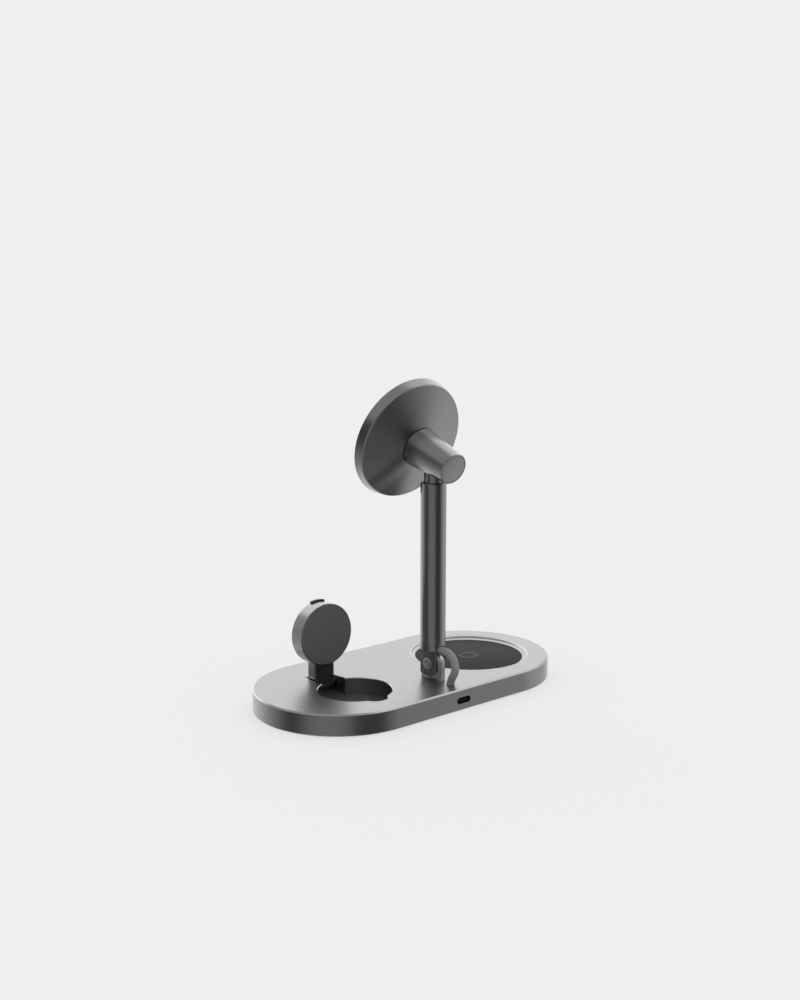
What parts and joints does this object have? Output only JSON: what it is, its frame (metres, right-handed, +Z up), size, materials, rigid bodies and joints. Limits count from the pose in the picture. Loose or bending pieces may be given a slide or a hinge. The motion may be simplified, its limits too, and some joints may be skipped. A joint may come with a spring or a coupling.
{
  "type": "magnetic charger",
  "caption": "Desk stand with a tilting magnetic charging disc on a folding telescopic pole, an earbud pad and a fold-up watch puck.",
  "frame": {"origin": "middle of the base at the table", "axes": "+X along the base towards the watch puck, +Y to the rear, where the port is, +Z up"},
  "size_m": [0.171, 0.086, 0.16],
  "materials": {
    "grey_aluminium": "satin, bead-blasted and anodised",
    "bright_steel": "satin",
    "steel": "satin",
    "magnet": "plated",
    "copper": "enamelled wire",
    "ferrite": "matt",
    "circuit_board": "matt",
    "black_plastic": "fine satin",
    "silicone": "matt",
    "cable_jacket": "matt"
  },
  "bodies": {
    "base": {"base_shell": "grey_aluminium", "bottom_cover": "black_plastic", "foot_pad": "silicone", "bottom_screws": "steel", "lug_screws": "steel", "ballast_plate": "steel", "main_board": "circuit_board", "usb_c_socket": "steel", "earbud_pad": "silicone", "earbud_coil": "copper", "earbud_ferrite": "ferrite", "pocket_tray": "black_plastic", "watch_hinge_pin": "steel", "pole_lug": "bright_steel", "friction_washers": "black_plastic", "cable_grommet": "black_plastic", "link_cable": "cable_jacket"},
    "pole": {"pole_tube": "grey_aluminium", "pivot_screw": "steel", "pivot_nut": "steel", "pole_bush": "black_plastic"},
    "rod": {"sliding_rod": "grey_aluminium", "rod_foot": "black_plastic"},
    "head": {"head_shell": "grey_aluminium", "head_stem": "grey_aluminium", "stem_cap": "grey_aluminium", "stem_nut": "steel", "head_face": "black_plastic", "magnet_ring": "magnet", "head_coil": "copper", "head_ferrite": "ferrite", "head_board": "circuit_board", "tilt_pin": "steel"},
    "watch": {"puck_frame": "grey_aluminium", "arm_cover": "black_plastic", "puck_back": "black_plastic", "puck_dome": "black_plastic", "puck_coil": "copper", "puck_magnet": "magnet"}
  },
  "joints": [
    {"name": "pole_fold", "type": "hinge", "parent": "base", "child": "pole", "pos_m": [0, 0.02027, 0.01925], "axis": [1, 0, 0], "range_deg": [0, 90], "deforming": ["link_cable"]},
    {"name": "rod_slide", "type": "slide", "parent": "pole", "child": "rod", "axis": [0, 0, 1], "range_m": [0, 0.045]},
    {"name": "head_tilt", "type": "hinge", "parent": "rod", "child": "head", "pos_m": [0, 0.02027, 0.123], "axis": [-1, 0, 0], "range_deg": [-20, 10]},
    {"name": "watch_fold", "type": "hinge", "parent": "base", "child": "watch", "pos_m": [0.0409, -0.0175, 0.008], "axis": [-1, 0, 0], "range_deg": [0, 90]}
  ]
}
